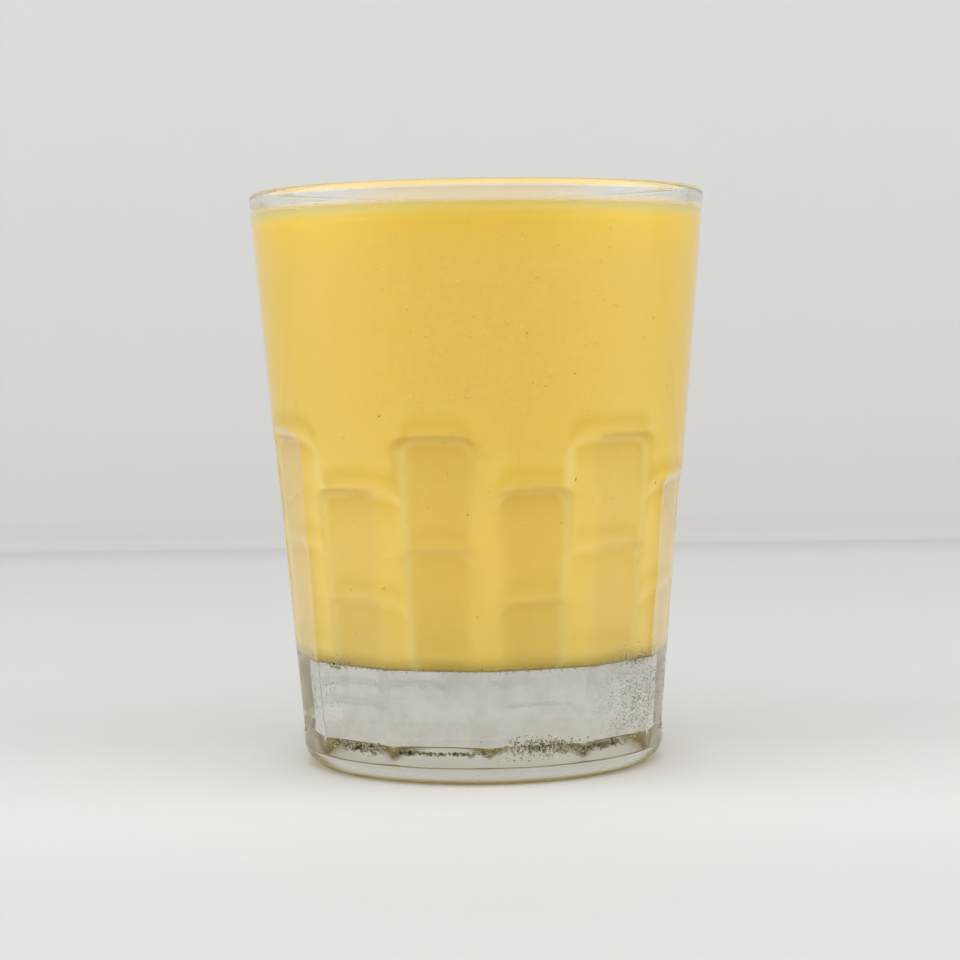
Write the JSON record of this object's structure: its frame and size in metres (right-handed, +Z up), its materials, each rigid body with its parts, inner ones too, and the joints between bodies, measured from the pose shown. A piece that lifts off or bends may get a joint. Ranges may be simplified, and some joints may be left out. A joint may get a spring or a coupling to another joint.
{
  "type": "mango lassi in a glass tumbler",
  "caption": "Thick yellow mango yoghurt drink in a tapering pressed glass tumbler with a round upper wall, staggered flat facets below and a thick clear base.",
  "frame": {"origin": "centre of the glass's underside, on the surface that it stands on", "axes": "+Z up along the glass's axis, -Y towards the viewer of the picture, +X to the viewer's right"},
  "size_m": [0.084, 0.084, 0.1054],
  "materials": {
    "clear_glass": "clear pressed glass, smooth",
    "mango_lassi": "smooth opaque yellow yoghurt drink"
  },
  "bodies": {
    "root": {"glass": "clear_glass", "lassi": "mango_lassi"}
  },
  "joints": []
}
